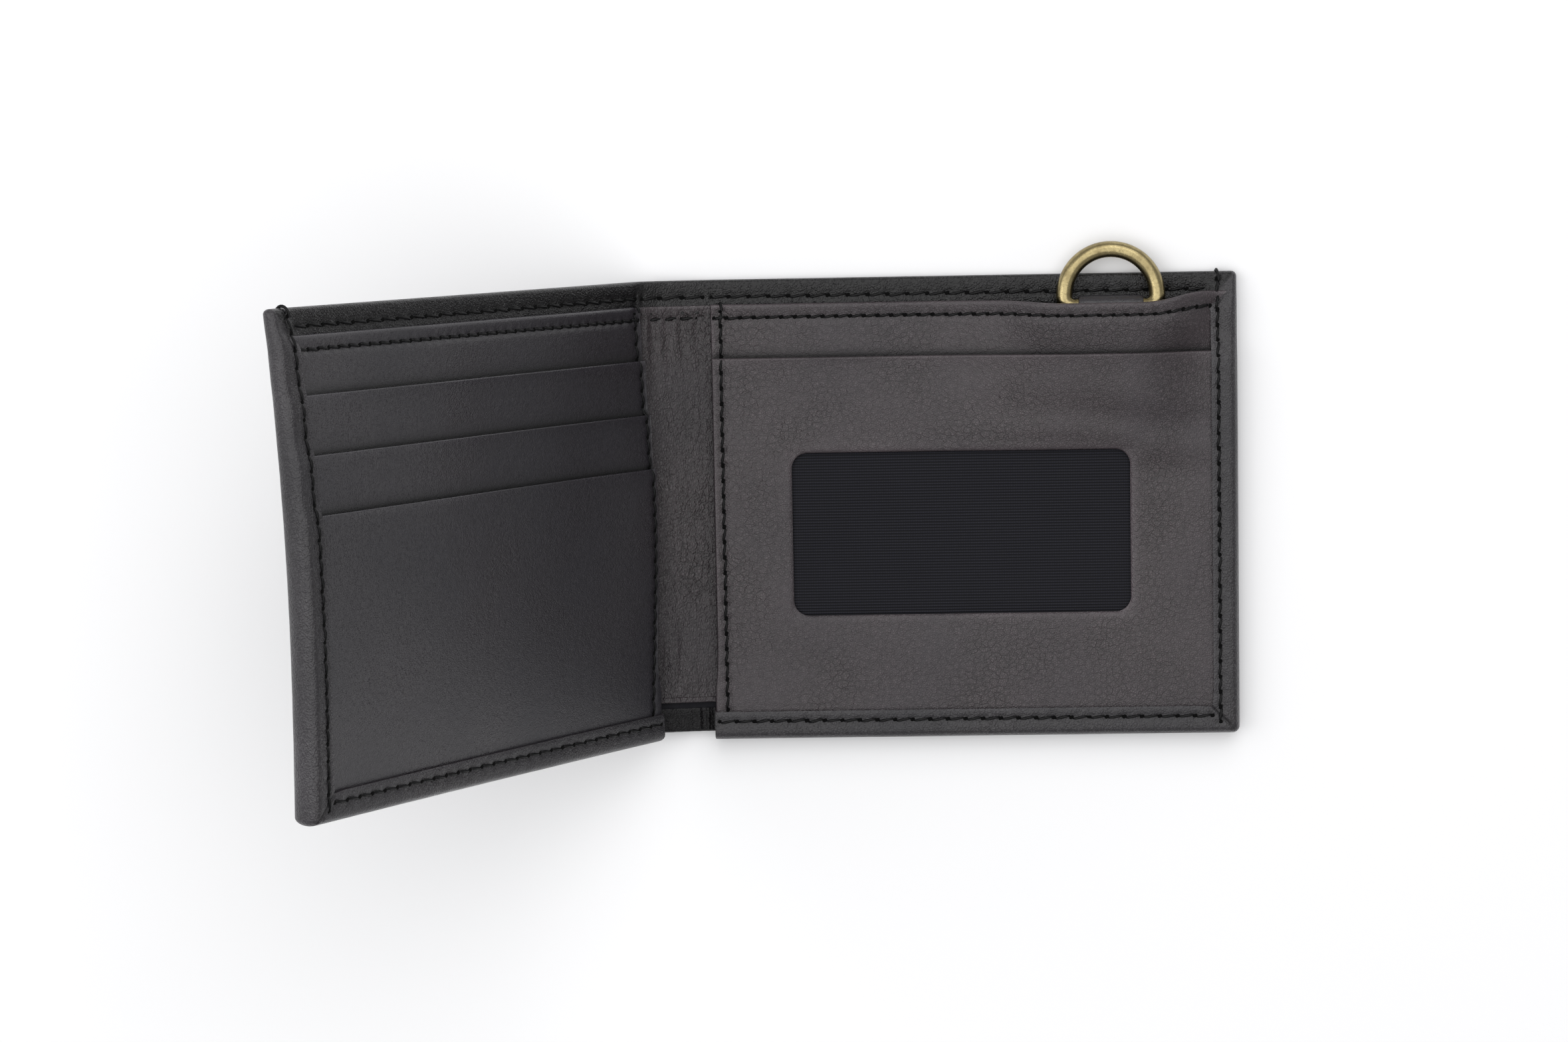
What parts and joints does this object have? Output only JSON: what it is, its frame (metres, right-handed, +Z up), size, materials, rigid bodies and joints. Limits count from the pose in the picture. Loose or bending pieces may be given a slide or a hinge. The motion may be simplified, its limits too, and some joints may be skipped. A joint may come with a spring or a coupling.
{
  "type": "bifold wallet",
  "caption": "Open bifold leather wallet with a wide spine, stepped card pockets, a framed window pocket, a note pocket and a brass D-ring for a chain.",
  "frame": {"origin": "centre of the right wing's underside, on the table", "axes": "+X from the spine to the right wing's outer edge, +Y to the mouth of the note pocket, +Z up from the table"},
  "size_m": [0.1717, 0.0952, 0.0913],
  "materials": {
    "outer_leather": "matt pebble grain",
    "panel_leather": "soft sheen, fine pebble grain",
    "pocket_leather": "soft sheen, smooth fine grain",
    "note_lining": "plain woven lining",
    "ribbed_fabric": "ribbed weave",
    "waxed_thread": "waxed twisted thread",
    "aged_brass": "aged, satin"
  },
  "bodies": {
    "right_wing": {"outer_shell_right": "outer_leather", "note_lining_right": "note_lining", "inner_panel_right": "panel_leather", "id_fabric": "ribbed_fabric", "window_panel": "panel_leather", "ring_tab": "panel_leather", "seam_mouth_right": "waxed_thread", "seam_panel_top_right": "waxed_thread", "seam_side_right": "waxed_thread", "seam_bottom_right": "waxed_thread", "seam_pocket_right": "waxed_thread"},
    "spine": {"outer_shell_spine": "outer_leather", "note_lining_spine": "note_lining", "inner_panel_spine": "panel_leather", "seam_mouth_spine": "waxed_thread", "seam_panel_top_spine": "waxed_thread"},
    "left_wing": {"outer_shell_left": "outer_leather", "note_lining_left": "note_lining", "inner_panel_left": "pocket_leather", "card_pocket_back": "pocket_leather", "card_pocket_middle": "pocket_leather", "card_pocket_front": "pocket_leather", "seam_mouth_left": "waxed_thread", "seam_panel_top_left": "waxed_thread", "seam_side_left": "waxed_thread", "seam_bottom_left": "waxed_thread", "seam_pocket_left": "waxed_thread"},
    "d_ring": {"d_ring": "aged_brass"}
  },
  "joints": [
    {"name": "spine_fold", "type": "hinge", "parent": "right_wing", "child": "spine", "pos_m": [-0.05125, 0, 0.001], "axis": [0, 1, 0], "range_deg": [-10, 80], "stiffness_Nm_per_rad": 0.15, "springref_deg": 4.7},
    {"name": "wing_fold", "type": "hinge", "parent": "spine", "child": "left_wing", "pos_m": [-0.06307, 0, 0.00308], "axis": [0, 1, 0], "range_deg": [-46.5, 43.5], "stiffness_Nm_per_rad": 0.06, "springref_deg": 8.14},
    {"name": "ring_swivel", "type": "hinge", "parent": "right_wing", "child": "d_ring", "pos_m": [0.02715, 0.0382, 0.00437], "axis": [1, 0, 0], "range_deg": [0, 23]}
  ]
}
